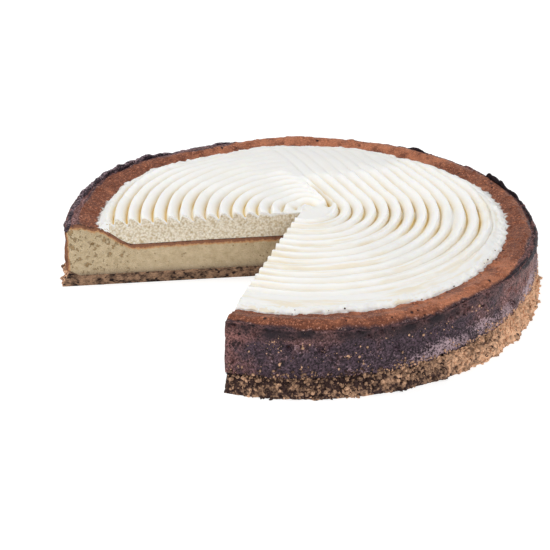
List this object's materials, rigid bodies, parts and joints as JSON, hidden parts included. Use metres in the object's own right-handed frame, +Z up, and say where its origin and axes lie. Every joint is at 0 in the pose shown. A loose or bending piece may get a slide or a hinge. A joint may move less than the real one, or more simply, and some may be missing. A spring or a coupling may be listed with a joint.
{
  "type": "baked cheesecake",
  "caption": "Round baked cheesecake with a wedge cut out: crumb base, tall filling with a dark browned rim, and combed cream in a spiral on top.",
  "frame": {"origin": "on the table, under the middle of the cake", "axes": "+Z up; the missing wedge lies between the azimuths -173 and -107 degrees from +X, so it opens towards -X and -Y"},
  "size_m": [0.286, 0.286, 0.0428],
  "materials": {
    "biscuit_crumb": "dry, coarse pressed biscuit crumb, toasted golden brown",
    "baked_filling": "satin browned skin and near-black baked wall outside; pale, moist, finely pored curd on the cut faces",
    "whipped_cream": "smooth satin cream, granular where it is cut"
  },
  "bodies": {
    "root": {"crumb_base": "biscuit_crumb", "cheese_filling": "baked_filling", "cream_topping": "whipped_cream"}
  },
  "joints": []
}
